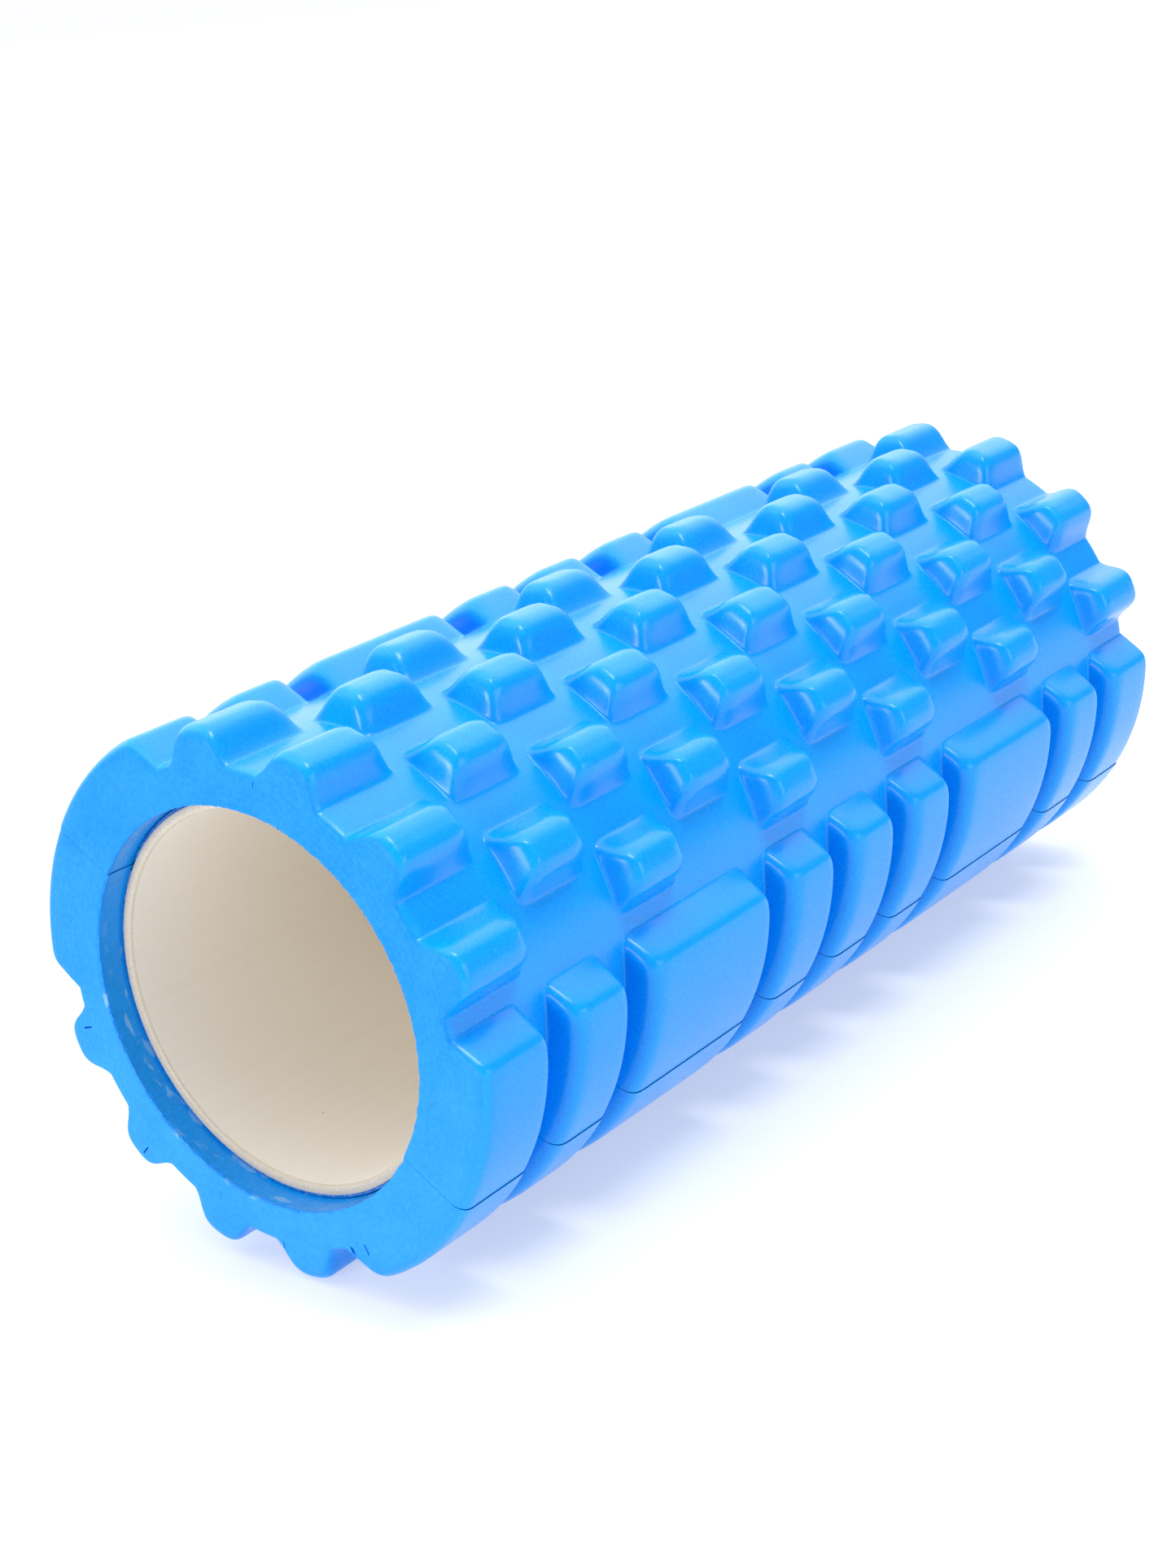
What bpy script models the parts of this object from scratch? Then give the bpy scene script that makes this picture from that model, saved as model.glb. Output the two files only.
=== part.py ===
"""Massage roller: two moulded foam half sleeves bonded round a stiff plastic tube.

Metres, +Z up, +X along the roller. The roller lies on two neighbouring rows of knobs, and the
origin is on the floor under its middle. Angles are in degrees round the roller's axis, and are
measured from the middle of a half sleeve.
"""
from math import cos, degrees, radians, sin

import bmesh
import bpy
from mathutils import Matrix, Vector

# Driving dimensions
LENGTH = 0.330
BASE_RADIUS = 0.0605        # foam between the knobs
BORE_RADIUS = 0.0503        # inside of the foam
TUBE_RADIUS = 0.0495
TUBE_WALL = 0.0025
TUBE_RECESS = 0.0075        # the tube stops this far inside each end face
FILM_THICKNESS = 0.0003     # adhesive between the tube and the foam
FILM_GAP = 0.00025
SEAM_THICKNESS = 0.0004     # adhesive between the two half sleeves
SEAM_GAP = 0.0003
SEAM_MARGIN = 0.0003        # the seam adhesive stays this far inside the foam's faces

# Rings of knobs, and the blocks that cover the seams
RINGS = 11
PITCH = 0.0302
NEAR_FOOT = 0.0030          # where a knob or a block starts within its pitch
KNOB_FAR_FOOT = 0.0280
BLOCK_FAR_FOOT = 0.0236
KNOB_DRAFT = 0.0028         # how far a knob's end wall leans over its height
BLOCK_DRAFT = 0.0006
KNOB_CREST = 0.0086         # heights above the base radius
KNOB_SHOULDER = 0.0075
BLOCK_CORNER = 0.0089
BLOCK_MIDDLE = 0.0085
KNOB_STEP = 13.0            # even rings have knobs at 1 and 3 steps, odd rings at 0 and 2
KNOB_HALF_ANGLE = 9.5
CREST_HALF_ANGLE = 3.5
BLOCK_FOOT_ANGLE = 52.5
BLOCK_CORNER_ANGLE = 58.5
BLOCK_STEPS = 5             # facets across a block's top, from its corner to the seam
WIDE_BLOCKS = {2: 3, 7: 8}  # these blocks run on over the next ring: first ring, last ring

# How it lies
LEAN = 2.5 * KNOB_STEP      # the floor touches the rows at 2 and 3 steps
CREST_RADIUS = BASE_RADIUS + KNOB_CREST
AXIS_HEIGHT = CREST_RADIUS * cos(radians(KNOB_STEP / 2))

TUBE_SEGMENTS = 72
FILM_SEGMENTS = 24
PARTING = SEAM_THICKNESS / 2 + SEAM_GAP

FOAM_BLUE = (0.005, 0.165, 0.730)
TUBE_CREAM = (0.720, 0.610, 0.460)
CURED_GLUE = (0.740, 0.740, 0.690)


def clear_scene():
    for thing in list(bpy.data.objects):
        bpy.data.objects.remove(thing, do_unlink=True)


def finish(name, colour, roughness):
    """A plain material with one colour."""
    material = bpy.data.materials.new(name)
    material.use_nodes = True
    shader = material.node_tree.nodes["Principled BSDF"]
    shader.inputs["Base Color"].default_value = (*colour, 1.0)
    shader.inputs["Roughness"].default_value = roughness
    shader.inputs["Metallic"].default_value = 0.0
    return material


def add_object(name, shape, material, turn):
    """Makes a named object of the shape, turned by an angle round the roller's axis."""
    mesh = bpy.data.meshes.new(name)
    bmesh.ops.recalc_face_normals(shape, faces=shape.faces)
    shape.to_mesh(mesh)
    shape.free()
    mesh.materials.append(material)
    mesh.shade_smooth()
    mesh.set_sharp_from_angle(angle=radians(35))
    piece = bpy.data.objects.new(name, mesh)
    piece.location = (0, 0, AXIS_HEIGHT)
    piece.rotation_euler = (radians(turn), 0, 0)
    bpy.context.collection.objects.link(piece)
    return piece


# The half sleeve is cut and raised as a flat sheet: x along the roller, y the angle in degrees,
# z the height above the base radius. Then it is wrapped round the axis.

def knob_angles(ring):
    """Middle angles of the knobs of a ring."""
    steps = (-3, -1, 1, 3) if ring % 2 == 0 else (-2, 0, 2)
    return [step * KNOB_STEP for step in steps]


def knob_span(ring):
    """Where a ring's knobs start and end. The two end rings are cut off by the end faces."""
    start = 0.0 if ring == 0 else ring * PITCH + NEAR_FOOT
    end = LENGTH if ring == RINGS - 1 else ring * PITCH + KNOB_FAR_FOOT
    return start, end


def block_spans():
    """Where each block starts and ends along the roller."""
    spans = []
    covered = set(WIDE_BLOCKS.values())
    for ring in range(RINGS):
        if ring in covered:
            continue
        last = WIDE_BLOCKS.get(ring, ring)
        start = 0.0 if ring == 0 else ring * PITCH + NEAR_FOOT
        end = LENGTH if last == RINGS - 1 else last * PITCH + BLOCK_FAR_FOOT
        spans.append((start, end))
    return spans


def wall_lines(spans, draft):
    """The foot and top lines of the end walls of features with these spans."""
    lines = []
    for start, end in spans:
        if start > 0.0:
            lines += [start, start + draft]
        if end < LENGTH:
            lines += [end - draft, end]
    return lines


def angle_lines():
    """Every angle where the sheet has an edge, on both sides of the middle."""
    lines = {0.0, BLOCK_FOOT_ANGLE, BLOCK_CORNER_ANGLE}
    for step in range(4):
        middle = step * KNOB_STEP
        offsets = (-KNOB_HALF_ANGLE, -CREST_HALF_ANGLE, 0.0, CREST_HALF_ANGLE, KNOB_HALF_ANGLE)
        lines |= {middle + offset for offset in offsets}
    width = (90 - BLOCK_CORNER_ANGLE) / BLOCK_STEPS
    lines |= {BLOCK_CORNER_ANGLE + width * step for step in range(1, BLOCK_STEPS)}
    return sorted({round(sign * line, 4) for line in lines for sign in (-1, 1)})


def cut(sheet, line, along, inside):
    """Cuts the faces whose middle passes the inside test along a line of constant x or y."""
    normal = Vector((1, 0, 0)) if along == "x" else Vector((0, 1, 0))
    faces = [face for face in sheet.faces if inside(face.calc_center_median())]
    edges = {edge for face in faces for edge in face.edges}
    verts = {vert for face in faces for vert in face.verts}
    bmesh.ops.bisect_plane(sheet, geom=[*faces, *edges, *verts], plane_co=normal * line,
                           plane_no=normal, dist=1e-7)


def cut_sheet():
    sheet = bmesh.new()
    corners = [(0, -90), (LENGTH, -90), (LENGTH, 90), (0, 90)]
    sheet.faces.new([sheet.verts.new((x, y, 0)) for x, y in corners])
    for line in angle_lines():
        cut(sheet, line, "y", lambda middle: True)
    for line in wall_lines([knob_span(ring) for ring in range(RINGS)], KNOB_DRAFT):
        cut(sheet, line, "x", lambda middle: abs(middle.y) < BLOCK_FOOT_ANGLE)
    for line in wall_lines(block_spans(), BLOCK_DRAFT):
        cut(sheet, line, "x", lambda middle: abs(middle.y) > BLOCK_FOOT_ANGLE)
    return sheet


def within(value, start, end, draft):
    """True between two end walls. At an end face there is no wall to stay clear of."""
    low = start if start == 0.0 else start + draft
    high = end if end == LENGTH else end - draft
    return low - 1e-6 <= value <= high + 1e-6


def raise_knobs(sheet):
    for ring in range(RINGS):
        start, end = knob_span(ring)
        row = [vert for vert in sheet.verts if within(vert.co.x, start, end, KNOB_DRAFT)]
        for middle in knob_angles(ring):
            for vert in row:
                offset = abs(vert.co.y - middle)
                if offset < 1e-3:
                    vert.co.z = KNOB_CREST
                elif offset < CREST_HALF_ANGLE + 1e-3:
                    vert.co.z = KNOB_SHOULDER


def raise_blocks(sheet):
    for start, end in block_spans():
        row = [vert for vert in sheet.verts if within(vert.co.x, start, end, BLOCK_DRAFT)]
        for vert in row:
            share = (abs(vert.co.y) - BLOCK_CORNER_ANGLE) / (90 - BLOCK_CORNER_ANGLE)
            if share > -1e-4:
                vert.co.z = BLOCK_CORNER + (BLOCK_MIDDLE - BLOCK_CORNER) * share


def wrap(sheet):
    """Bends the sheet round the axis, its middle on top, and trims it to the parting plane."""
    for vert in sheet.verts:
        angle = radians(vert.co.y)
        radius = BASE_RADIUS + vert.co.z
        height = max(radius * cos(angle), PARTING)
        vert.co = (vert.co.x - LENGTH / 2, -radius * sin(angle), height)


def end_arc(sheet, x):
    """Boundary edges of the wrapped sheet that lie in an end face."""
    return [edge for edge in sheet.edges
            if edge.is_boundary and all(abs(vert.co.x - x) < 1e-6 for vert in edge.verts)]


def close_to_bore(sheet):
    """Gives the wrapped sheet its end faces, its bore and its two parting faces."""
    inner = []
    for x in (-LENGTH / 2, LENGTH / 2):
        grown = bmesh.ops.extrude_edge_only(sheet, edges=end_arc(sheet, x))["geom"]
        for vert in (item for item in grown if isinstance(item, bmesh.types.BMVert)):
            radius = Vector((0, vert.co.y, vert.co.z)).length
            height = max(vert.co.z * BORE_RADIUS / radius, PARTING)
            side = (BORE_RADIUS ** 2 - height ** 2) ** 0.5
            vert.co = (x, side if vert.co.y > 0 else -side, height)
        inner += [item for item in grown if isinstance(item, bmesh.types.BMEdge)]
    bmesh.ops.bridge_loops(sheet, edges=inner)
    rim = [edge for edge in sheet.edges if edge.is_boundary]
    bmesh.ops.holes_fill(sheet, edges=rim, sides=0)


def half_sleeve(name, material, turn):
    sheet = cut_sheet()
    raise_knobs(sheet)
    raise_blocks(sheet)
    wrap(sheet)
    close_to_bore(sheet)
    return add_object(name, sheet, material, turn)


def turned(section, start, sweep, segments):
    """Spins a closed section of (x, radius) points round the X axis. A full turn has no ends."""
    shape = bmesh.new()
    turn = Matrix.Rotation(radians(start), 3, "X")
    verts = [shape.verts.new(turn @ Vector((x, 0, radius))) for x, radius in section]
    face = shape.faces.new(verts)
    whole = sweep == 360
    if whole:
        bmesh.ops.delete(shape, geom=[face], context="FACES_ONLY")
    bmesh.ops.spin(shape, geom=[*shape.verts, *shape.edges, *shape.faces], axis=(1, 0, 0),
                   cent=(0, 0, 0), angle=radians(sweep), steps=segments, use_merge=whole)
    return shape


def core_tube(material):
    """A plain tube, turned from the section of its wall."""
    half = LENGTH / 2 - TUBE_RECESS
    section = [(-half, TUBE_RADIUS - TUBE_WALL), (half, TUBE_RADIUS - TUBE_WALL),
               (half, TUBE_RADIUS), (-half, TUBE_RADIUS)]
    shape = turned(section, 0, 360, TUBE_SEGMENTS)
    return add_object("core_tube", shape, material, 0)


def bond_film(name, material, turn):
    """The cured adhesive between the tube and one half sleeve."""
    inner = TUBE_RADIUS + FILM_GAP
    outer = inner + FILM_THICKNESS
    half = LENGTH / 2 - TUBE_RECESS
    section = [(-half, inner), (half, inner), (half, outer), (-half, outer)]
    edge = degrees(PARTING / inner)
    shape = turned(section, -90 + edge, 180 - 2 * edge, FILM_SEGMENTS)
    return add_object(name, shape, material, turn)


def seam_line(name, material, side):
    """The cured adhesive that joins the half sleeves along one seam."""
    inner = BORE_RADIUS + SEAM_MARGIN
    outer = BASE_RADIUS - SEAM_MARGIN
    shape = bmesh.new()
    bmesh.ops.create_cube(shape, size=1)
    size = (LENGTH - 2 * SEAM_MARGIN, outer - inner, SEAM_THICKNESS)
    bmesh.ops.scale(shape, vec=size, verts=shape.verts)
    bmesh.ops.translate(shape, vec=(0, side * (inner + outer) / 2, 0), verts=shape.verts)
    return add_object(name, shape, material, LEAN)


def build():
    clear_scene()
    foam = finish("azure_foam", FOAM_BLUE, 0.62)
    plastic = finish("cream_plastic", TUBE_CREAM, 0.42)
    glue = finish("cured_adhesive", CURED_GLUE, 0.35)
    core_tube(plastic)
    half_sleeve("foam_sleeve_upper", foam, LEAN)
    half_sleeve("foam_sleeve_lower", foam, LEAN + 180)
    bond_film("bond_film_upper", glue, LEAN)
    bond_film("bond_film_lower", glue, LEAN + 180)
    seam_line("seam_adhesive_front", glue, -1)
    seam_line("seam_adhesive_rear", glue, 1)


build()
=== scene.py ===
"""The looks of the massage roller: moulded foam half sleeves on a bare plastic tube."""

from math import cos, pi, radians, sin

import bmesh
import bpy
from mathutils import Euler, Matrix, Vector


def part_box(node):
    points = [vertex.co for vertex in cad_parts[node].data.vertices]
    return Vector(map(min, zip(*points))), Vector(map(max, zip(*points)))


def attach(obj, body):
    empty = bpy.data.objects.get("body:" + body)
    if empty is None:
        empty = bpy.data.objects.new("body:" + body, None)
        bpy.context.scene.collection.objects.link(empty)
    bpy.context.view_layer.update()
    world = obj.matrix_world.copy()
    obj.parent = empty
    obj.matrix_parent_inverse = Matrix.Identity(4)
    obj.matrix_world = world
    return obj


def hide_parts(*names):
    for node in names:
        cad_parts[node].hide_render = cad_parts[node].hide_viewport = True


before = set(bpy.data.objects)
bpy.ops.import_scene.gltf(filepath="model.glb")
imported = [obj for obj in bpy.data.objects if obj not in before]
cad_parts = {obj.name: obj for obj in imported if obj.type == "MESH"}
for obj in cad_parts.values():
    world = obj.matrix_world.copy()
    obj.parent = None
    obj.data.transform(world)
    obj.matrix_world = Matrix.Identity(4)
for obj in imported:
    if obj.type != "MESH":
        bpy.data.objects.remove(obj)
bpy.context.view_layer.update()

# The roller, from the frame
TUBE_LOW, TUBE_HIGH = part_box("core_tube")
FOAM_LOW, FOAM_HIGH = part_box("foam_sleeve_upper")
LENGTH = FOAM_HIGH.x - FOAM_LOW.x
AXIS = (TUBE_LOW.z + TUBE_HIGH.z) / 2
TUBE_RADIUS = (TUBE_HIGH.z - TUBE_LOW.z) / 2
TUBE_LENGTH = TUBE_HIGH.x - TUBE_LOW.x

# The moulding, laid out flat: x along the roller, y round it at the base radius, z outwards
BASE_RADIUS = 0.0605
BORE_DEPTH = BASE_RADIUS - TUBE_RADIUS - 0.0008
RINGS = 11
PITCH = 0.0302
STEP = 13.0                 # degrees between the rows of knobs
LEAN = 2.5 * STEP           # the roller lies on the rows at 2 and 3 steps
KNOB_ROWS = {0: (-3, -1, 1, 3), 1: (-2, 0, 2)}   # in steps, for even and odd rings
KNOB_START, KNOB_END = 0.0030, 0.0276       # from the start of the ring
KNOB_HALF_WIDTH = 0.0093
BLOCK_START, BLOCK_END = 0.0030, 0.0236
BLOCK_FOOT = 52.5           # degrees from the middle of the half sleeve
BLOCK_TILE = 4 * STEP       # where the blocks' tiles start
WIDE_BLOCKS = {2: 3, 7: 8}  # these blocks run on over the next ring
FOOT_ROOM = 1.1             # degrees given up by the knobs' tiles beside the blocks
COLUMNS = 6                 # columns of faces along one ring
TILE_MARGIN = 0.0005        # the plain rim of a tile
MERGE = 2e-5                # vertices nearer than this are one
# Where the features of the end rings are cut in two, near end and far end
KNOB_CUTS = (0.0144, 0.0164)
BLOCK_CUTS = (0.0124, 0.0159)
CUT_REACH = 0.0035

# The ends, the seams and the bore
END_ROUNDING = 0.0034
END_STEPS = 6               # rings of faces in the rounding
END_DROP = 0.24             # how far the rounding takes the surface down, as a share
END_DROP_FROM = -0.006
END_RINGS = (0.80, 0.75, 0.70, 0.55, 0.35)      # shares of the height left above the bore
BORE_RINGS = 24             # loops along the bore's wall
FRAY = (0.00020, 0.00014)   # how ragged the bore's edge is, near end and far end
CELL_RIM = 0.00008
CELL_TAPER = 0.6
SEAM_GAP = 0.00004          # half the slit between the half sleeves' lips
SEAM_LIP = 0.00028          # how wide the lips are
SEAM_SINK = 0.00018         # the parting faces lie this much deeper than their lips
SEAM_STEP = 0.00012         # each half sleeve sits this far off in the parting plane
# Open cells in the near cut face: degrees round the half sleeve, height, depth
UPPER_CELLS = [(22, -0.0022, 0.0005)]
LOWER_CELLS = [(-11.5, 0.0034, 0.0024), (-42.4, 0.0013, 0.0024), (-44.5, 0.0028, 0.0018),
               (52.7, -0.0004, 0.0022), (54.6, -0.0002, 0.0020), (59.4, -0.0006, 0.0016),
               (12, -0.0046, 0.0009), (31, 0.0012, 0.0009)]

# The tube and its adhesive
TUBE_WALL = 0.0025
TUBE_SIDES = 168
INNER_EDGE, OUTER_EDGE = 0.0009, 0.0003     # the bevels at the tube's ends
FILM_INNER, FILM_OUTER = 0.00006, 0.00064   # from the tube's outer surface
FILM_SHORT = 0.0008         # how much shorter the films are than the tube
FILM_EDGE = 0.0006          # the films stop this far short of the seam's plane

# How a knob rises: height, how far its near end, far end and flanks have come in, and how
# round its corners are
KNOB_SHAPE = [
    (0.00000, -0.0007, -0.0007, -0.0007, 0.0008),
    (0.00000, 0.0000, 0.0000, 0.0000, 0.0008),
    (0.00070, 0.0003, 0.0006, 0.0007, 0.0011),
    (0.00180, 0.0006, 0.0011, 0.0016, 0.0016),
    (0.00310, 0.0009, 0.0016, 0.0024, 0.0021),
    (0.00450, 0.0012, 0.0022, 0.0031, 0.0026),
    (0.00590, 0.0017, 0.0030, 0.0039, 0.0030),
    (0.00710, 0.0024, 0.0040, 0.0048, 0.0031),
    (0.00800, 0.0034, 0.0054, 0.0060, 0.0026),
    (0.00832, 0.0044, 0.0069, 0.0073, 0.0017),
    (0.00841, 0.0058, 0.0086, 0.0083, 0.0008),
]
# How a block rises, in the same way
BLOCK_SHAPE = [
    (0.0000, -0.0007, -0.0007, -0.0006, 0.0008),
    (0.0000, 0.0000, 0.0000, 0.0000, 0.0008),
    (0.0009, 0.0002, 0.0001, 0.0006, 0.0011),
    (0.0044, 0.0005, 0.0002, 0.0030, 0.0016),
    (0.0063, 0.0010, 0.0003, 0.0043, 0.0020),
    (0.0075, 0.0019, 0.0004, 0.0051, 0.0022),
    (0.0083, 0.0031, 0.0007, 0.0060, 0.0022),
    (0.0087, 0.0045, 0.0013, 0.0072, 0.0020),
    (0.0088, 0.0062, 0.0025, 0.0088, 0.0016),
]

# Colours, scene-linear
FOAM_DEEP = (0.0, 0.284, 0.860, 1)
FOAM_LIGHT = (0.0, 0.336, 0.960, 1)
FOAM_PALE = (0.06, 0.45, 1.0, 1)
FOAM_CUT = (0.0, 0.215, 0.790, 1)
# The cut face's paler colour, which also paints the floor's bounce light onto its lower part
FOAM_CUT_PALE = (0.030, 0.310, 0.940, 1)
PAPER = (0.550, 0.555, 0.560, 1)
PAPER_SHADE = (0.540, 0.545, 0.550, 1)
SMEAR_PALE = (0.30, 0.58, 0.90, 1)
CREAM = (0.905, 0.842, 0.738, 1)
CREAM_DEEP = (0.896, 0.829, 0.720, 1)
# The tube's saw-cut end: a cut surface, darkened further with painted shade
CREAM_SAWN_SHADED = (0.52, 0.45, 0.35, 1)
CREAM_SAWN_SHADED_PALE = (0.59, 0.52, 0.42, 1)
SPECK = (0.16, 0.12, 0.08, 1)
GLUE_BLUE = (0.01, 0.14, 0.52, 1)
GLUE_PALE = (0.10, 0.27, 0.60, 1)

# The set. Each light: name, place, width, height, watts. All aim at LIGHT_AIM.
FLOOR_SIZE = 60
BACKDROP_RADIUS, BACKDROP_HEIGHT = 8, 12
BACKDROP_MIDDLE = 5.9       # its foot is just below the floor
LIGHT_AIM = (0, 0, 0.07)
LIGHTS = [("front_softbox", (-1.45, 0.17, 0.46), 0.20, 0.32, 4),
          ("front_panel", (-1.70, -0.10, 0.36), 0.80, 0.55, 11),
          ("side_panel", (0.20, -1.70, 0.50), 0.90, 0.60, 5),
          ("top_softbox", (0.0, -0.50, 1.30), 0.20, 0.42, 7)]
GLOW_TOWARDS = (0.30, 0.48, 0.82)       # the bright part of the room
GLOW_SPREAD = (0.33, 0.80)              # cosines from that direction: where it starts, full
GLOW_STRENGTH = (0.24, 2.10)            # the dim room, and the bright part
CAMERA_PLACE = (-0.53981, -0.40145, 0.30607)
CAMERA_TURN = (70.734, 4.812, -53.301)  # degrees
CAMERA_LENS = 58.854


def arc(degrees):
    """Length round the roller at the base radius."""
    return radians(degrees) * BASE_RADIUS


def deselect_all():
    for thing in bpy.context.selected_objects:
        thing.select_set(False)


def take(*pieces):
    """Selects these pieces and nothing else. The first one is active."""
    deselect_all()
    for piece in pieces:
        piece.select_set(True)
    bpy.context.view_layer.objects.active = pieces[0]


def edit(piece):
    take(piece)
    bpy.ops.object.mode_set(mode="EDIT")
    bpy.ops.mesh.select_all(action="SELECT")


def done():
    bpy.ops.object.mode_set(mode="OBJECT")


def pick(kind, test):
    """In edit mode, selects the vertices, edges or faces that pass the test."""
    bpy.ops.mesh.select_mode(type=kind)
    bpy.ops.mesh.select_all(action="DESELECT")
    shape = bmesh.from_edit_mesh(bpy.context.edit_object.data)
    for item in {"VERT": shape.verts, "EDGE": shape.edges, "FACE": shape.faces}[kind]:
        if test(item):
            item.select_set(True)
    shape.select_flush_mode()
    bmesh.update_edit_mesh(bpy.context.edit_object.data)


def all_at(edge, x):
    return all(abs(vert.co.x - x) < 1e-5 for vert in edge.verts)


# ---------------------------------------------------------------- tiles of the moulding

def raised_tile(name, length, width, across, start, end, foot_width, shape):
    """A flat tile with one feature on it, drawn up through the outlines of its shape."""
    columns = COLUMNS * round(length / PITCH)
    bpy.ops.mesh.primitive_grid_add(x_subdivisions=columns, y_subdivisions=across, size=1)
    tile = bpy.context.object
    tile.name = name
    edit(tile)
    bpy.ops.transform.resize(value=(length, width, 1), center_override=(0, 0, 0))
    bpy.ops.transform.translate(value=(length / 2, 0, 0))
    bpy.ops.mesh.inset(thickness=TILE_MARGIN, use_boundary=True)
    half_length, half_width = length / 2 - TILE_MARGIN, width / 2 - TILE_MARGIN
    middle, height = length / 2, 0
    spare = (2 / columns, 2 / across)     # from one vertex to the next, as a share
    drawn = outline(half_length, half_width, 0, spare)
    for row, (rise, near, far, flank, corner) in enumerate(shape):
        new_length, new_width = (end - start - near - far) / 2, foot_width / 2 - flank
        new_middle = (start + near + end - far) / 2
        if row > 0:
            bpy.ops.mesh.extrude_region_move()
        bpy.ops.transform.translate(value=(new_middle - middle, 0, rise - height))
        bpy.ops.transform.resize(
            value=(new_length / half_length, new_width / half_width, 1),
            center_override=(new_middle, 0, rise))
        half_length, half_width, middle, height = new_length, new_width, new_middle, rise
        wanted = outline(half_length, half_width, corner, spare)
        round_corners((middle, 0, height), (half_length, half_width), drawn, wanted)
        drawn = wanted
    done()
    return tile


def outline(half_length, half_width, corner, spare):
    """Where the corner and the vertices on either side of it lie, as shares of the half sizes."""
    def share(half, other_half, step):
        reach = corner - step * other_half
        return 1 if reach <= 0 else (half - corner + (corner ** 2 - reach ** 2) ** 0.5) / half
    pull = corner * (1 - 0.5 ** 0.5)
    return [(1 - pull / half_length, 1 - pull / half_width),
            (share(half_length, half_width, spare[1]), 1 - spare[1]),
            (1 - spare[0], share(half_width, half_length, spare[0]))]


def round_corners(middle, half, drawn, wanted):
    """Pulls in the selected faces' corners, and selects the faces again."""
    bpy.ops.mesh.select_mode(type="FACE")
    shape = bmesh.from_edit_mesh(bpy.context.edit_object.data)
    inner = {face.index for face in shape.faces if face.select}
    for (along, across), (new_along, new_across) in zip(drawn, wanted):
        pick("VERT", lambda vert: abs(vert.co.z - middle[2]) < 1e-5
             and abs(abs(vert.co.x - middle[0]) - along * half[0]) < 1e-5
             and abs(abs(vert.co.y) - across * half[1]) < 1e-5)
        bpy.ops.transform.resize(value=(new_along / along, new_across / across, 1),
                                 center_override=middle)
    pick("FACE", lambda face: face.index in inner)


def knob_tile(name):
    return raised_tile(name, length=PITCH, width=arc(2 * STEP), across=6,
                       start=KNOB_START, end=KNOB_END,
                       foot_width=2 * KNOB_HALF_WIDTH, shape=KNOB_SHAPE)


def block_tile(name, rings):
    """A whole block, seam and all: its middle line lies on the seam."""
    return raised_tile(name, length=rings * PITCH, width=arc(2 * (90 - BLOCK_TILE)), across=18,
                       start=BLOCK_START, end=(rings - 1) * PITCH + BLOCK_END,
                       foot_width=arc(2 * (90 - BLOCK_FOOT)), shape=BLOCK_SHAPE)


def filler_tile(name):
    """A plain tile, half as wide as a knob's, for the rings with three knobs."""
    bpy.ops.mesh.primitive_grid_add(x_subdivisions=COLUMNS, y_subdivisions=3, size=1)
    tile = bpy.context.object
    tile.name = name
    edit(tile)
    bpy.ops.transform.resize(value=(PITCH, arc(STEP), 1), center_override=(0, 0, 0))
    bpy.ops.transform.translate(value=(PITCH / 2, 0, 0))
    done()
    return tile


def run_to_end(tile, middle, keep_far, end):
    """Cuts a tile in two at its feature's middle column, and draws the cut out to the end."""
    edit(tile)
    side = 1 if keep_far else -1
    pick("VERT", lambda vert: side * (vert.co.x - middle) < 0)
    bpy.ops.mesh.delete(type="VERT")
    pick("EDGE", lambda edge: edge.is_boundary
         and all(side * (vert.co.x - middle) < CUT_REACH for vert in edge.verts))
    bpy.ops.mesh.extrude_region_move()
    bpy.ops.transform.resize(value=(0, 1, 1), center_override=(end, 0, 0))
    done()
    return tile


def lay(tile, ring, degrees):
    """A copy of the tile in its place on the flat sheet."""
    copy = tile.copy()
    copy.data = tile.data.copy()
    copy.location = (ring * PITCH, arc(degrees), 0)
    bpy.context.collection.objects.link(copy)
    return copy


def flat_sheet():
    """All the tiles of one half sleeve, merged into one sheet."""
    last = RINGS - 1
    near_end, far_end = END_ROUNDING, LENGTH - END_ROUNDING - last * PITCH
    knob, block = knob_tile("knob"), block_tile("block", 1)
    wide, filler = block_tile("wide_block", 2), filler_tile("filler")
    near_knob = run_to_end(knob_tile("near_knob"), KNOB_CUTS[0], True, near_end)
    far_knob = run_to_end(knob_tile("far_knob"), KNOB_CUTS[1], False, far_end)
    near_block = run_to_end(block_tile("near_block", 1), BLOCK_CUTS[0], True, near_end)
    far_block = run_to_end(block_tile("far_block", 1), BLOCK_CUTS[1], False, far_end)
    knobs = {0: near_knob, last: far_knob}
    blocks = {0: near_block, last: far_block}
    laid = []
    for ring in range(RINGS):
        for steps in KNOB_ROWS[ring % 2]:
            laid.append(lay(knobs.get(ring, knob), ring, steps * STEP))
        if ring % 2:
            laid += [lay(filler, ring, side * 3.5 * STEP) for side in (-1, 1)]
        if ring in WIDE_BLOCKS.values():
            continue
        shape = wide if ring in WIDE_BLOCKS else blocks.get(ring, block)
        laid += [lay(shape, ring, side * 90) for side in (-1, 1)]
    take(*laid)
    bpy.ops.object.transform_apply(location=True, rotation=False, scale=False)
    bpy.ops.object.join()
    sheet = bpy.context.object
    sheet.name = "half_sleeve"
    for tile in (knob, block, wide, filler, near_knob, far_knob, near_block, far_block):
        bpy.data.objects.remove(tile, do_unlink=True)
    edit(sheet)
    bpy.ops.mesh.remove_doubles(threshold=MERGE)
    pick("VERT", lambda vert: abs(vert.co.y) > arc(90) + 1e-5)
    bpy.ops.mesh.delete(type="VERT")
    for side in (-1, 1):    # room for the knobs' feet beside the blocks' feet
        pick("VERT", lambda vert: abs(side * vert.co.y - arc(BLOCK_TILE)) < MERGE)
        bpy.ops.transform.translate(value=(0, -side * arc(FOOT_ROOM), 0))
    done()
    return sheet


# ---------------------------------------------------------------- from the sheet to a sleeve

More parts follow.
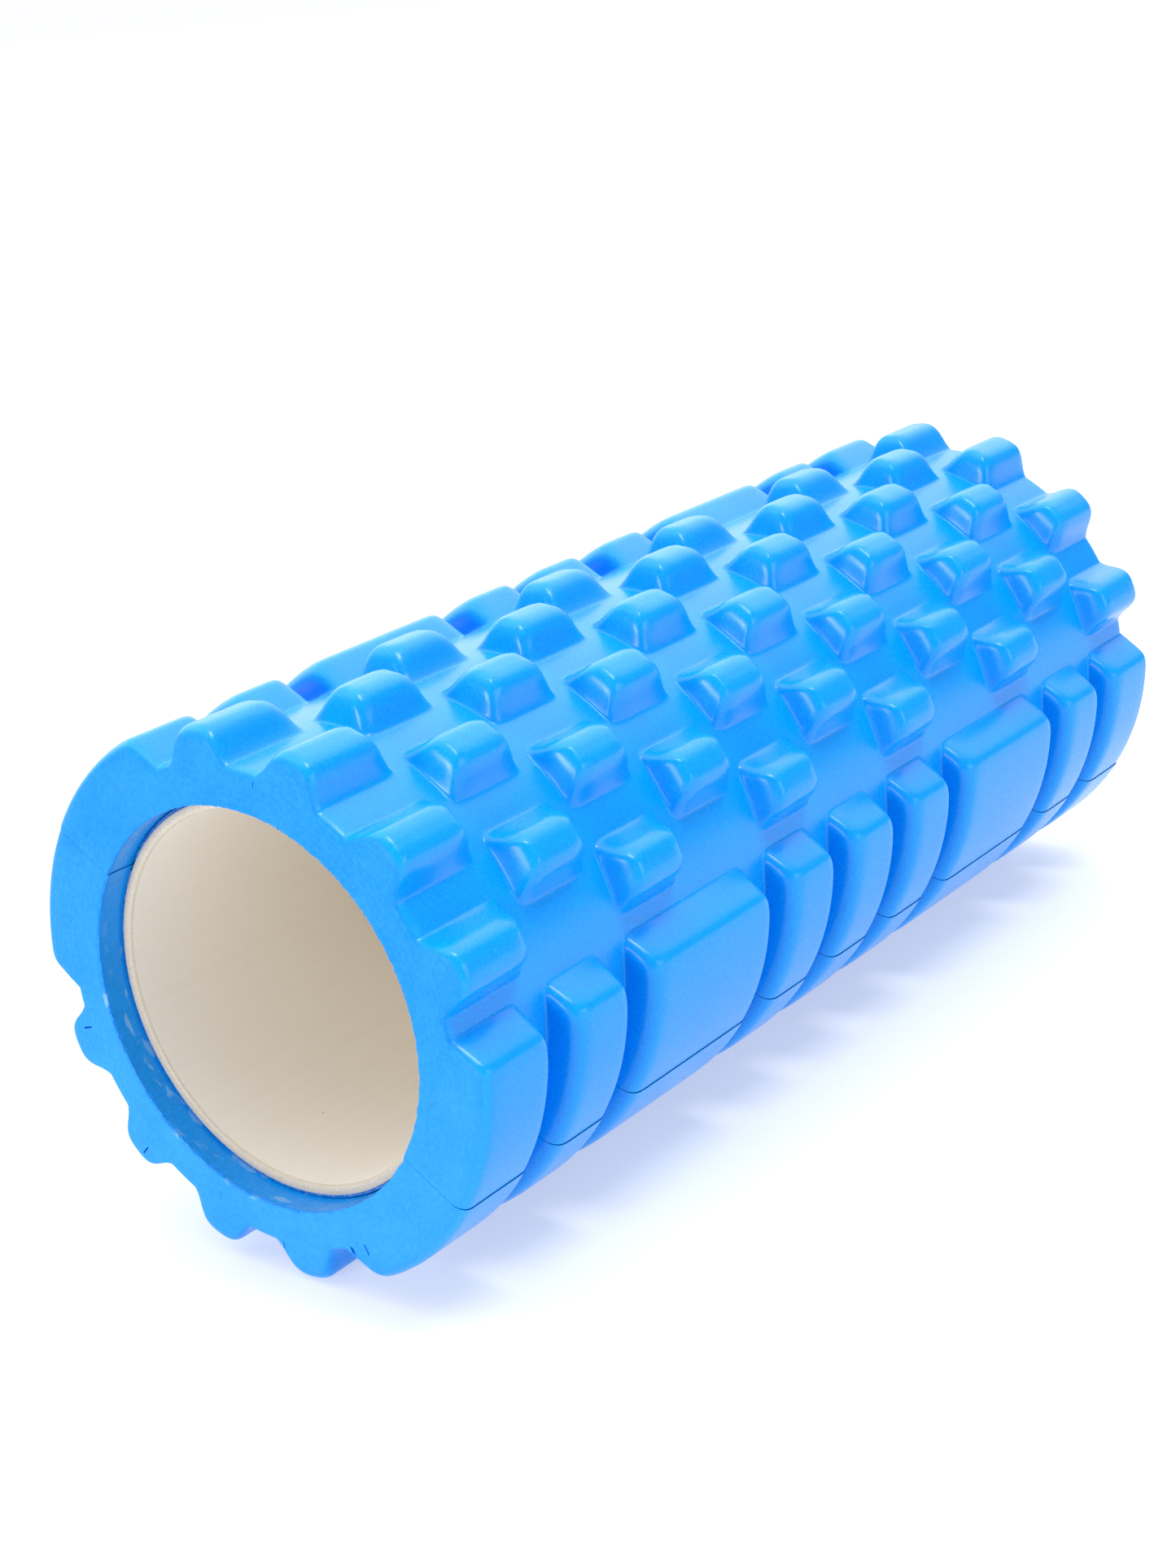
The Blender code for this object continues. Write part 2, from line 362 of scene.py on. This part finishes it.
def smooth_sheet(sheet):
    smoothing = sheet.modifiers.new("smoothing", "SUBSURF")
    smoothing.levels = smoothing.render_levels = 1
    smoothing.boundary_smooth = "PRESERVE_CORNERS"
    take(sheet)
    bpy.ops.object.modifier_apply(modifier="smoothing")


def close_ends(sheet):
    """Rolls the outer surface over into each end face, and takes the end face to the bore."""
    edit(sheet)
    for end, inwards in ((0.0, 1), (LENGTH, -1)):
        pick("EDGE", lambda edge: edge.is_boundary
             and all_at(edge, end + inwards * END_ROUNDING))
        for step in range(1, END_STEPS + 1):
            before, now = (radians(90 * s / END_STEPS) for s in (step - 1, step))
            bpy.ops.mesh.extrude_region_move()
            bpy.ops.transform.translate(
                value=(-inwards * END_ROUNDING * (sin(now) - sin(before)), 0, 0))
            sink = (1 - END_DROP * (1 - cos(now))) / (1 - END_DROP * (1 - cos(before)))
            bpy.ops.transform.resize(value=(1, 1, sink),
                                     center_override=(end, 0, END_DROP_FROM))
        for share in END_RINGS:
            bpy.ops.mesh.extrude_region_move()
            bpy.ops.transform.resize(value=(1, 1, share), center_override=(end, 0, -BORE_DEPTH))
        for depth in (0.35, 0.0):     # millimetres above the bore
            bpy.ops.mesh.extrude_region_move()
            bpy.ops.transform.resize(value=(1, 1, 0),
                                     center_override=(end, 0, depth * 0.001 - BORE_DEPTH))
            if depth == 0.0:
                bpy.ops.transform.translate(value=(inwards * 0.0003, 0, 0))
        bpy.ops.mesh.extrude_region_move()
        bpy.ops.transform.translate(value=(inwards * 0.0009, 0, 0))
    pick("EDGE", lambda edge: edge.is_boundary
         and all(abs(vert.co.z + BORE_DEPTH) < 1e-5 for vert in edge.verts)
         and (all_at(edge, 0.0012) or all_at(edge, LENGTH - 0.0012)))
    bpy.ops.mesh.bridge_edge_loops(number_cuts=BORE_RINGS, interpolation="LINEAR")
    done()


def prick(sheet, cells):
    """Opens small cells in the near cut face: degrees round, height, and depth."""
    edit(sheet)
    for degrees, height, depth in cells:
        shape = bmesh.from_edit_mesh(bpy.context.edit_object.data)
        spot = Vector((0, arc(degrees), height))
        cut = [face for face in shape.faces if abs(face.normal.x) > 0.95
               and face.calc_center_median().x < 0.0005]
        nearest = min(cut, key=lambda face: (face.calc_center_median() - spot).length).index
        pick("FACE", lambda face: face.index == nearest)
        bpy.ops.mesh.inset(thickness=CELL_RIM)
        bpy.ops.mesh.extrude_region_move()
        bpy.ops.transform.translate(value=(depth, 0, 0))
        bpy.ops.transform.resize(value=(1, CELL_TAPER, CELL_TAPER), center_override=spot)
    done()


def fray_bore(sheet, seed):
    """The knife leaves the bore's edges a little ragged."""
    edit(sheet)
    for end, amount in ((0.0, FRAY[0]), (LENGTH, FRAY[1])):
        pick("VERT", lambda vert: abs(vert.co.x - end) < 0.0005
             and vert.co.z < 0.0008 - BORE_DEPTH)
        bpy.ops.transform.vertex_random(offset=amount, uniform=0.2, normal=0, seed=seed)
    done()


def close_seams(sheet):
    """Draws the edges back from the parting plane, and fills the parting faces behind lips."""
    edit(sheet)
    for side in (-1, 1):
        pick("VERT", lambda vert: side * vert.co.y > arc(90) - 0.0005)
        bpy.ops.transform.resize(value=(1, 0, 1), center_override=(0, side * arc(90), 0))
        bpy.ops.transform.translate(value=(0, -side * SEAM_GAP, 0))
        pick("EDGE", lambda edge: edge.is_boundary
             and all(side * vert.co.y > 0 for vert in edge.verts))
        bpy.ops.mesh.edge_face_add()
        bpy.ops.mesh.inset(thickness=SEAM_LIP)
        bpy.ops.transform.translate(value=(0, -side * SEAM_SINK, 0))
    bpy.ops.mesh.select_all(action="SELECT")
    bpy.ops.mesh.normals_make_consistent(inside=False)
    done()


def bend_round(sheet, width):
    """Bends the sheet into a half sleeve. Its middle then faces -Y from the axis."""
    sheet.rotation_euler = (pi / 2, 0, 0)
    take(sheet)
    bpy.ops.object.transform_apply(location=False, rotation=True, scale=False)
    bending = sheet.modifiers.new("bending", "SIMPLE_DEFORM")
    bending.deform_method = "BEND"
    bending.deform_axis = "X"
    bending.angle = width / BASE_RADIUS
    bpy.ops.object.modifier_apply(modifier="bending")
    edit(sheet)
    bpy.ops.transform.translate(value=(-LENGTH / 2, -BASE_RADIUS, 0))
    done()


def foam_sleeves():
    """Both half sleeves, from one sheet. They differ in their cells and their ragged edges."""
    upper = flat_sheet()
    smooth_sheet(upper)
    close_ends(upper)
    lower = upper.copy()
    lower.data = upper.data.copy()
    bpy.context.collection.objects.link(lower)
    upper.name, lower.name = "upper_foam_sleeve", "lower_foam_sleeve"
    for sleeve, cells, turn, seed in ((upper, UPPER_CELLS, LEAN - 90, 4),
                                      (lower, LOWER_CELLS, LEAN + 90, 9)):
        prick(sleeve, cells)
        fray_bore(sleeve, seed)
        close_seams(sleeve)
        bend_round(sleeve, 2 * (arc(90) - SEAM_GAP))
        take(sleeve)
        bpy.ops.object.shade_smooth_by_angle(angle=radians(42))
        place(sleeve, turn)
    return upper, lower


def place(piece, turn):
    """Sets a half sleeve off in its parting plane, turns it round the axis, and lifts it."""
    edit(piece)
    bpy.ops.transform.translate(value=(0, 0, SEAM_STEP))
    done()
    piece.rotation_euler = (radians(turn), 0, 0)
    piece.location = (0, 0, AXIS)
    take(piece)
    bpy.ops.object.transform_apply(location=True, rotation=True, scale=False)


def plastic_tube():
    """The extruded tube, cut square. Its inner edges are rounded, its outer ones just broken."""
    bpy.ops.mesh.primitive_cylinder_add(vertices=TUBE_SIDES, radius=TUBE_RADIUS,
                                        depth=TUBE_LENGTH, end_fill_type="NOTHING",
                                        rotation=(0, pi / 2, 0))
    tube = bpy.context.object
    tube.name = "plastic_tube"
    take(tube)
    bpy.ops.object.transform_apply(location=False, rotation=True, scale=False)
    edit(tube)
    bpy.ops.transform.translate(value=(0, 0, AXIS))
    pick("EDGE", lambda edge: edge.is_boundary)
    bpy.ops.mesh.extrude_region_move()
    narrow = 1 - TUBE_WALL / TUBE_RADIUS
    bpy.ops.transform.resize(value=(1, narrow, narrow), center_override=(0, 0, AXIS))
    bpy.ops.mesh.bridge_edge_loops()
    for radius, width, segments in ((TUBE_RADIUS - TUBE_WALL, INNER_EDGE, 4),
                                    (TUBE_RADIUS, OUTER_EDGE, 2)):
        pick("EDGE", lambda edge: abs(edge.verts[0].co.x - edge.verts[1].co.x) < 1e-5
             and all(abs((vert.co - Vector((vert.co.x, 0, AXIS))).length - radius) < 1e-4
                     for vert in edge.verts))
        bpy.ops.mesh.bevel(offset=width, segments=segments)
    bpy.ops.mesh.select_all(action="SELECT")
    bpy.ops.mesh.normals_make_consistent(inside=False)
    done()
    take(tube)
    bpy.ops.object.shade_smooth_by_angle(angle=radians(40))
    return tube


def bond_film(name, turn):
    """The adhesive between the tube and one half sleeve, squeezed out flush with the tube."""
    inner, outer = TUBE_RADIUS + FILM_INNER, TUBE_RADIUS + FILM_OUTER
    bpy.ops.mesh.primitive_cylinder_add(vertices=TUBE_SIDES, radius=inner,
                                        depth=TUBE_LENGTH - FILM_SHORT,
                                        end_fill_type="NOTHING", rotation=(0, pi / 2, 0))
    film = bpy.context.object
    film.name = name
    take(film)
    bpy.ops.object.transform_apply(location=False, rotation=True, scale=False)
    edit(film)
    pick("VERT", lambda vert: vert.co.z < FILM_EDGE)
    bpy.ops.mesh.delete(type="VERT")
    pick("FACE", lambda face: True)
    bpy.ops.mesh.extrude_region_move()
    grow = outer / inner
    bpy.ops.transform.resize(value=(1, grow, grow), center_override=(0, 0, 0))
    bpy.ops.mesh.select_all(action="SELECT")
    bpy.ops.mesh.normals_make_consistent(inside=False)
    done()
    film.rotation_euler = (radians(turn), 0, 0)
    film.location = (0, 0, AXIS)
    take(film)
    bpy.ops.object.transform_apply(location=True, rotation=True, scale=False)
    bpy.ops.object.shade_smooth_by_angle(angle=radians(40))
    return film


# ---------------------------------------------------------------- finishes

class Finish:
    """A material under way, with short ways to add its nodes."""

    def __init__(self, name, **sockets):
        self.material = bpy.data.materials.new(name)
        self.material.use_nodes = True
        self.nodes, self.links = self.material.node_tree.nodes, self.material.node_tree.links
        self.shader = self.nodes["Principled BSDF"]
        for socket, value in sockets.items():
            self.shader.inputs[socket.replace("_", " ")].default_value = value
        self.place = self.nodes.new("ShaderNodeTexCoord").outputs["Object"]

    def plug(self, node, socket, value):
        """A value may be a number, a colour, or another node's output."""
        if isinstance(value, bpy.types.NodeSocket):
            self.links.new(value, node.inputs[socket])
        else:
            node.inputs[socket].default_value = value

    def centred(self, scale=(1, 1, 1)):
        """Object coordinates taken from the roller's axis."""
        node = self.nodes.new("ShaderNodeMapping")
        node.vector_type = "TEXTURE"
        node.inputs["Location"].default_value = (0, 0, AXIS)
        node.inputs["Scale"].default_value = scale
        self.plug(node, "Vector", self.place)
        return node.outputs["Vector"]

    def noise(self, scale, detail=2.0, where=None):
        node = self.nodes.new("ShaderNodeTexNoise")
        node.inputs["Scale"].default_value = scale
        node.inputs["Detail"].default_value = detail
        self.plug(node, "Vector", where or self.place)
        return node.outputs["Fac"]

    def fade(self, value, start, end, low=0.0, high=1.0):
        """Goes from low to high as the value goes from start to end."""
        node = self.nodes.new("ShaderNodeMapRange")
        node.interpolation_type = "SMOOTHSTEP"
        for socket, number in (("From Min", start), ("From Max", end), ("To Min", low),
                               ("To Max", high)):
            node.inputs[socket].default_value = number
        self.plug(node, "Value", value)
        return node.outputs["Result"]

    def maths(self, operation, one, other=0.0):
        """One sum on two values, by the maths node's name for it."""
        node = self.nodes.new("ShaderNodeMath")
        node.operation = operation
        self.plug(node, 0, one)
        self.plug(node, 1, other)
        return node.outputs[0]

    def blend(self, share, one, other):
        """Mixes two colours. The mix node takes them at its inputs 6 and 7."""
        node = self.nodes.new("ShaderNodeMix")
        node.data_type = "RGBA"
        self.plug(node, "Factor", share)
        for index, colour in ((6, one), (7, other)):
            self.plug(node, index, colour)
        return node.outputs[2]

    def parts(self, vector):
        node = self.nodes.new("ShaderNodeSeparateXYZ")
        self.plug(node, "Vector", vector)
        return node.outputs

    def relief(self, heights):
        """One bump after another: height, strength, distance."""
        normal = None
        for height, strength, distance in heights:
            node = self.nodes.new("ShaderNodeBump")
            node.inputs["Distance"].default_value = distance
            self.plug(node, "Strength", strength)
            self.plug(node, "Height", height)
            if normal:
                self.links.new(normal, node.inputs["Normal"])
            normal = node.outputs["Normal"]
        self.links.new(normal, self.shader.inputs["Normal"])

    def colour(self, value):
        self.links.new(value, self.shader.inputs["Base Color"])

    def roughness(self, value):
        self.links.new(value, self.shader.inputs["Roughness"])

    def specks(self, scale, size, where=None):
        """One round speck in every cell of the given scale, of differing size."""
        node = self.nodes.new("ShaderNodeTexVoronoi")
        node.inputs["Scale"].default_value = scale
        self.plug(node, "Vector", where or self.place)
        chance = self.parts(node.outputs["Color"])["X"]
        reach = self.fade(chance, 0.80, 1.0, 0.0, size)
        return self.maths("LESS_THAN", node.outputs["Distance"], reach)


def foam_finish():
    """Moulded closed-cell foam: a satin skin with a fine grain, dull and scuffed where cut. The
    cut face is paler towards its bottom: painted light from the floor's bounce.
    """
    finish = Finish("azure_foam")
    grain = finish.noise(1500, 3)
    cloud = finish.noise(38, 2)
    along = finish.parts(finish.place)["X"]
    cut = finish.fade(finish.maths("ABSOLUTE", along), LENGTH / 2 - 0.0014,
                      LENGTH / 2 - 0.0003)
    skin = finish.blend(finish.fade(grain, 0.32, 0.68), FOAM_DEEP, FOAM_LIGHT)
    skin = finish.blend(finish.fade(cloud, 0.3, 0.7, 0.0, 0.35), skin, FOAM_DEEP)
    pale = finish.fade(finish.noise(2300, 1), 0.66, 0.74, 0.0, 0.30)
    skin = finish.blend(pale, skin, FOAM_PALE)
    axis = finish.parts(finish.centred())
    scuffs_and_painted_bounce = finish.maths("ADD", finish.fade(finish.noise(1100, 4), 0.3, 0.7, 0.0, 0.35),
                          finish.fade(finish.noise(70, 3), 0.35, 0.65, 0.0, 0.20))
    # Painted light: the cut face turns paler towards its bottom, where the floor's bounce would
    # light it
    scuffs_and_painted_bounce = finish.maths("ADD", scuffs_and_painted_bounce, finish.fade(axis["Z"], 0.045, -0.055, 0.0, 0.45))
    sawn_with_painted_light = finish.blend(scuffs_and_painted_bounce, FOAM_CUT, FOAM_CUT_PALE)
    colour = finish.blend(cut, skin, sawn_with_painted_light)
    finish.plug(finish.shader, "Specular IOR Level", finish.fade(cut, 0, 1, 0.32, 0.12))

    square = finish.maths("ADD", finish.maths("POWER", axis["Y"], 2.0),
                          finish.maths("POWER", axis["Z"], 2.0))
    inside = finish.fade(finish.maths("SQRT", square), TUBE_RADIUS + 0.0020,
                         TUBE_RADIUS + 0.0014)
    low_side = finish.fade(finish.maths("SUBTRACT", axis["Y"], axis["Z"]), 0.030, 0.055)
    streaks = finish.noise(1, 3, finish.centred((0.0035, 0.010, 0.010)))
    smear = finish.maths("MULTIPLY", finish.fade(streaks, 0.56, 0.64),
                         finish.maths("MULTIPLY", inside, low_side))
    finish.colour(finish.blend(finish.maths("MULTIPLY", smear, 0.55), colour, SMEAR_PALE))
    finish.roughness(finish.maths("ADD", finish.fade(cut, 0, 1, 0.24, 0.42),
                                  finish.fade(grain, 0.2, 0.8, -0.03, 0.05)))
    swirl = finish.nodes.new("ShaderNodeTexWave")
    swirl.wave_type, swirl.rings_direction = "RINGS", "X"
    for socket, number in (("Scale", 190), ("Distortion", 9), ("Detail", 2),
                           ("Detail Scale", 0.4)):
        swirl.inputs[socket].default_value = number
    finish.plug(swirl, "Vector", finish.centred())
    finish.relief([(grain, 0.014, 0.0002), (finish.noise(420, 2), 0.012, 0.0004),
                   (swirl.outputs["Fac"], finish.maths("MULTIPLY", cut, 0.10), 0.0004),
                   (smear, 0.25, 0.0002)])
    return finish.material


def plastic_finish():
    """Extruded cream plastic: faint lengthwise lines, a few dark specks, a saw-cut end, speckled
    and darkened further with painted shade.
    """
    finish = Finish("cream_plastic", Specular_IOR_Level=0.40)
    lines = finish.noise(1, 2, finish.centred((0.30, 0.0016, 0.0016)))
    cloud = finish.noise(30, 2)
    colour = finish.blend(finish.fade(lines, 0.3, 0.7), CREAM, CREAM_DEEP)
    # Painted shade: the cut end and its rounded inner edge are darkened, so that they don't stand
    # out brighter than the inside under the front lights
    end = finish.fade(finish.maths("ABSOLUTE", finish.parts(finish.place)["X"]),
                      TUBE_HIGH.x - 0.0011, TUBE_HIGH.x - 0.0004)
    sawn_with_painted_light = finish.blend(finish.fade(finish.noise(1800, 2), 0.35, 0.65), CREAM_SAWN_SHADED_PALE,
                        CREAM_SAWN_SHADED)
    colour = finish.blend(end, colour, sawn_with_painted_light)
    finish.colour(finish.blend(finish.maths("MULTIPLY", finish.specks(130, 0.045), 0.75), colour,
                               SPECK))
    finish.roughness(finish.fade(cloud, 0.3, 0.7, 0.36, 0.48))
    finish.relief([(lines, 0.01, 0.0002), (finish.noise(900, 2), 0.03, 0.0001)])
    return finish.material


def glue_finish():
    """Cured adhesive with the foam's blue showing through."""
    finish = Finish("cured_adhesive", Specular_IOR_Level=0.45)
    cloud = finish.noise(700, 3)
    finish.colour(finish.blend(finish.fade(cloud, 0.4, 0.7), GLUE_BLUE, GLUE_PALE))
    finish.roughness(finish.fade(cloud, 0.3, 0.7, 0.25, 0.45))
    finish.relief([(cloud, 0.2, 0.0002)])
    return finish.material


def dress(piece, material):
    piece.data.materials.clear()
    piece.data.materials.append(material)


# ---------------------------------------------------------------- floor, light and camera

def studio():
    """A white floor that glows a little, a backdrop, the room's light, softboxes and panels."""
    bpy.ops.mesh.primitive_plane_add(size=1)
    floor = bpy.context.object
    floor.name = "studio_floor"
    edit(floor)
    bpy.ops.transform.resize(value=(FLOOR_SIZE, FLOOR_SIZE, 1), center_override=(0, 0, 0))
    done()
    paper = Finish("white_paper", Roughness=0.8, Emission_Color=(0.98, 0.99, 1.0, 1),
                   Emission_Strength=0.47)
    paper.colour(paper.blend(paper.fade(paper.noise(3, 2), 0.3, 0.7), PAPER, PAPER_SHADE))
    dress(floor, paper.material)

    bpy.ops.mesh.primitive_cylinder_add(vertices=96, radius=BACKDROP_RADIUS,
                                        depth=BACKDROP_HEIGHT, end_fill_type="TRIFAN",
                                        location=(0, 0, BACKDROP_MIDDLE))
    backdrop = bpy.context.object
    backdrop.name = "studio_backdrop"
    sheet = Finish("backdrop_paper", Base_Color=(0, 0, 0, 1), Specular_IOR_Level=0,
                   Emission_Color=(0.985, 0.99, 1.0, 1), Emission_Strength=1)
    dress(backdrop, sheet.material)
    # Only the camera sees the backdrop, so it sheds no light
    backdrop.visible_diffuse = backdrop.visible_glossy = backdrop.visible_shadow = False
    backdrop.visible_transmission = backdrop.visible_volume_scatter = False

    world = bpy.data.worlds.new("studio_world")
    bpy.context.scene.world = world
    world.use_nodes = True
    nodes, links = world.node_tree.nodes, world.node_tree.links
    room = nodes["Background"]
    room.inputs["Color"].default_value = (0.97, 0.985, 1.0, 1)
    looking = nodes.new("ShaderNodeTexCoord")
    towards = nodes.new("ShaderNodeVectorMath")
    towards.operation = "DOT_PRODUCT"
    towards.inputs[1].default_value = Vector(GLOW_TOWARDS).normalized()
    links.new(looking.outputs["Generated"], towards.inputs[0])
    glow = nodes.new("ShaderNodeMapRange")
    glow.interpolation_type = "SMOOTHSTEP"
    for socket, number in zip(("From Min", "From Max", "To Min", "To Max"),
                              GLOW_SPREAD + GLOW_STRENGTH):
        glow.inputs[socket].default_value = number
    links.new(towards.outputs["Value"], glow.inputs["Value"])
    links.new(glow.outputs["Result"], room.inputs["Strength"])
    for light in LIGHTS:
        soft_light(*light)


def soft_light(name, where, width, height, power):
    data = bpy.data.lights.new(name, "AREA")
    data.shape = "RECTANGLE"
    data.size, data.size_y = width, height
    data.energy = power
    light = bpy.data.objects.new(name, data)
    light.location = where
    towards = Vector(LIGHT_AIM) - Vector(where)
    light.rotation_euler = towards.to_track_quat("-Z", "Y").to_euler()
    bpy.context.collection.objects.link(light)


def camera():
    data = bpy.data.cameras.new("studio_camera")
    data.lens = CAMERA_LENS
    data.sensor_width = 36      # millimetres
    view = bpy.data.objects.new("studio_camera", data)
    view.location = CAMERA_PLACE
    view.rotation_euler = Euler([radians(angle) for angle in CAMERA_TURN])
    bpy.context.collection.objects.link(view)
    bpy.context.scene.camera = view


def build():
    foam, plastic, glue = foam_finish(), plastic_finish(), glue_finish()
    upper, lower = foam_sleeves()
    for piece, node in ((upper, "foam_sleeve_upper"), (lower, "foam_sleeve_lower")):
        dress(piece, foam)
        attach(piece, "root")
        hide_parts(node)
    tube = plastic_tube()
    dress(tube, plastic)
    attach(tube, "root")
    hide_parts("core_tube")
    for name, node, turn in (("upper_bond_film", "bond_film_upper", LEAN),
                             ("lower_bond_film", "bond_film_lower", LEAN + 180)):
        film = bond_film(name, turn)
        dress(film, glue)
        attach(film, "root")
        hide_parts(node)
    for node in ("seam_adhesive_front", "seam_adhesive_rear"):
        dress(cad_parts[node], glue)
    studio()
    camera()
    bpy.context.scene.view_settings.view_transform = "Standard"


build()
